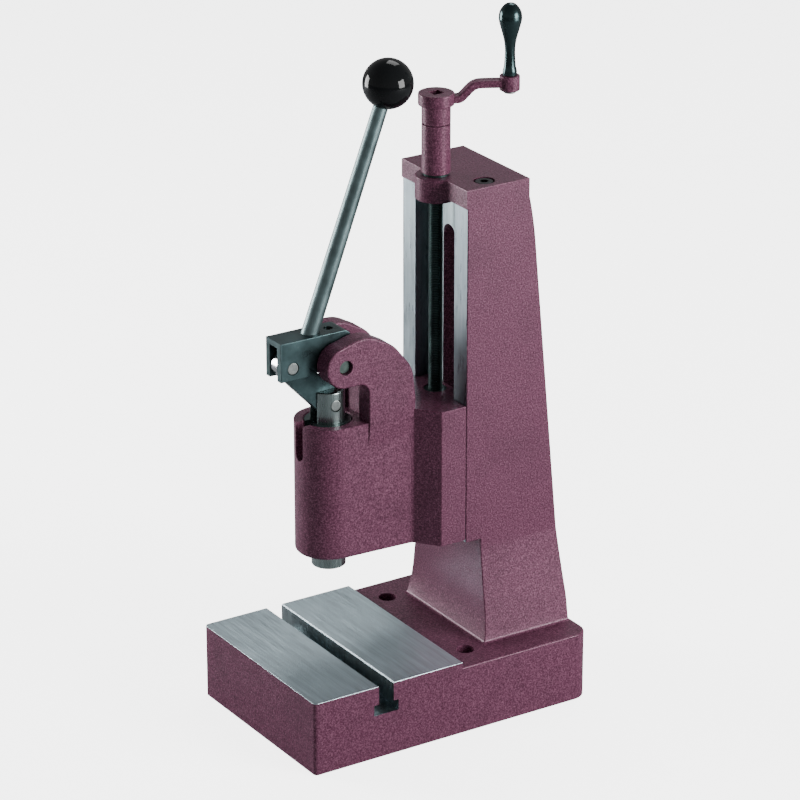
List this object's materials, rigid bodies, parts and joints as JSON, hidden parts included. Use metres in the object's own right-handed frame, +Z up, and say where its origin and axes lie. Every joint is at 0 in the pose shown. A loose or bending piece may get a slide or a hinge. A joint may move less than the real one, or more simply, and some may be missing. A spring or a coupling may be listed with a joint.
{
  "type": "toggle press",
  "caption": "Bench hand press: a lever pushes a ram down through a toggle link over a T-slotted table, on a head that a crank raises and lowers on the column.",
  "frame": {"origin": "centre of the base's footprint, on the bench", "axes": "+Z up, -Y towards the operator (the table's side), +X to the operator's right"},
  "size_m": [0.15, 0.23, 0.509],
  "materials": {
    "purple_paint": "hammertone enamel",
    "ground_steel": "ground",
    "dark_steel": "blackened, satin",
    "bright_steel": "turned, bright",
    "black_plastic": "polished",
    "bronze": "turned bearing bronze",
    "spring_steel": "oiled spring wire"
  },
  "bodies": {
    "frame": {"press_frame": "purple_paint", "top_plate": "purple_paint", "top_plate_screw_left": "dark_steel", "top_plate_screw_right": "dark_steel"},
    "spindle": {"lead_screw": "dark_steel", "thrust_washer": "dark_steel", "spindle_sleeve": "purple_paint", "crank_handle": "purple_paint", "crank_set_screw": "bright_steel", "crank_grip_pin": "bright_steel"},
    "grip": {"crank_grip": "dark_steel"},
    "head": {"press_head": "purple_paint", "spindle_nut": "dark_steel", "clamp_plate": "ground_steel", "clamp_washer_lower": "bright_steel", "clamp_washer_upper": "bright_steel", "clamp_screw_lower": "bright_steel", "clamp_screw_upper": "bright_steel", "ram_bush_upper": "dark_steel", "ram_bush_lower": "bronze", "ram_guide_screw": "dark_steel", "pivot_bush_left": "bronze", "pivot_bush_right": "bronze", "return_spring": "spring_steel"},
    "lever": {"lever_block": "dark_steel", "pivot_pin": "bright_steel", "knee_pin": "bright_steel", "pivot_set_screw": "bright_steel", "lever_rod": "dark_steel", "ball_knob": "black_plastic"},
    "link": {"toggle_link": "dark_steel"},
    "ram": {"ram": "ground_steel", "ram_pin": "bright_steel", "spring_collar": "bright_steel", "tool_clamp_screw": "bright_steel"}
  },
  "joints": [
    {"name": "crank_turn", "type": "hinge", "parent": "frame", "child": "spindle", "pos_m": [0, 0.0313, 0.43], "axis": [0, 0, -1], "range_deg": [0, 34560]},
    {"name": "grip_spin", "type": "hinge", "parent": "spindle", "child": "grip", "pos_m": [0.02347, 0.07545, 0.46], "axis": [0, 0, 1], "continuous": true},
    {"name": "head_slide", "type": "slide", "parent": "frame", "child": "head", "axis": [0, 0, 1], "range_m": [0, 0.12]},
    {"name": "lever_swing", "type": "hinge", "parent": "head", "child": "lever", "pos_m": [0, -0.057, 0.273], "axis": [1, 0, 0], "range_deg": [0, 62], "stiffness_Nm_per_rad": 0.35, "springref_deg": -51.57},
    {"name": "knee_swing", "type": "hinge", "parent": "lever", "child": "link", "pos_m": [0, -0.09, 0.2745], "axis": [1, 0, 0], "range_deg": [-83, 0]},
    {"name": "ram_slide", "type": "slide", "parent": "head", "child": "ram", "axis": [0, 0, -1], "range_m": [0, 0.0415], "deforming": ["return_spring"]}
  ],
  "couplings": [
    {"joint": "head_slide", "follows": "crank_turn", "m_per_rad": 0.00019894},
    {"joint": "knee_swing", "follows": "lever_swing", "ratio": -1.3226},
    {"joint": "ram_slide", "follows": "lever_swing", "m_per_rad": 0.0379}
  ]
}
